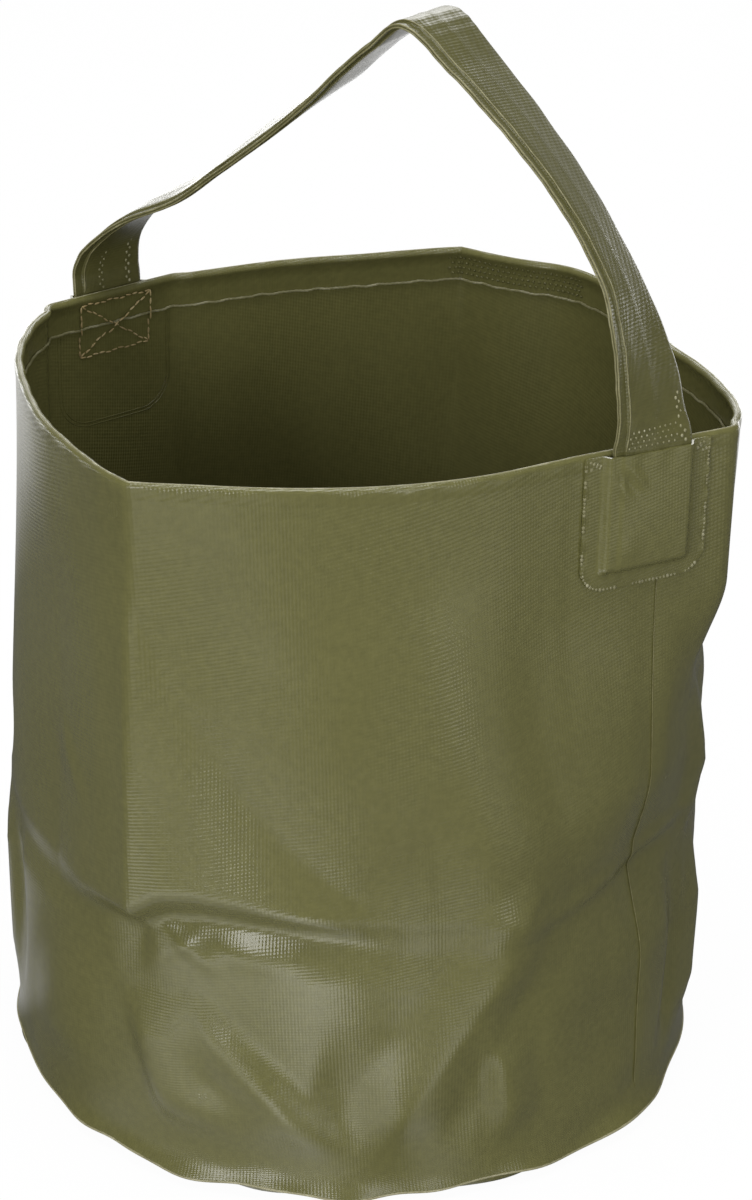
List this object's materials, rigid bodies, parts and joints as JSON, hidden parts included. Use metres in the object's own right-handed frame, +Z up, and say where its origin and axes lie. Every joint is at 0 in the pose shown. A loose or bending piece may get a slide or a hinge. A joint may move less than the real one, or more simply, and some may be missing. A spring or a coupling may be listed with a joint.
{
  "type": "collapsible camp bucket",
  "caption": "Round soft-sided camp bucket of welded coated sheet with a hemmed rim, welded base and covered webbing carry handle; the wall folds down.",
  "frame": {"origin": "centre of the round base's underside, on the floor", "axes": "+Z up; +X along the handle's span, from the left strap root to the right one; +Y away from the camera's side of the handle"},
  "size_m": [0.2467, 0.2564, 0.3695],
  "materials": {
    "sheet": "semi-gloss PVC-coated woven sheet, olive",
    "webbing": "flat woven webbing, olive brown",
    "cord": "plain plastic cord"
  },
  "bodies": {
    "base": {"base_disc": "sheet", "wall_panel": "sheet"},
    "rim": {"rim_hem": "sheet", "rim_cord": "cord", "left_patch": "sheet", "right_patch": "sheet", "left_root_cover": "sheet", "left_root_webbing": "webbing", "right_root_cover": "sheet", "right_root_webbing": "webbing"},
    "handle": {"handle_cover": "sheet", "handle_webbing": "webbing"}
  },
  "joints": [
    {"name": "wall_collapse", "type": "slide", "parent": "base", "child": "rim", "axis": [0, 0, -1], "range_m": [0, 0.18], "deforming": ["wall_panel"]},
    {"name": "handle_swing", "type": "hinge", "parent": "rim", "child": "handle", "pos_m": [0, 0, 0.2645], "axis": [1, 0, 0], "range_deg": [-90, 90], "deforming": ["left_root_cover", "left_root_webbing", "right_root_cover", "right_root_webbing"]}
  ]
}
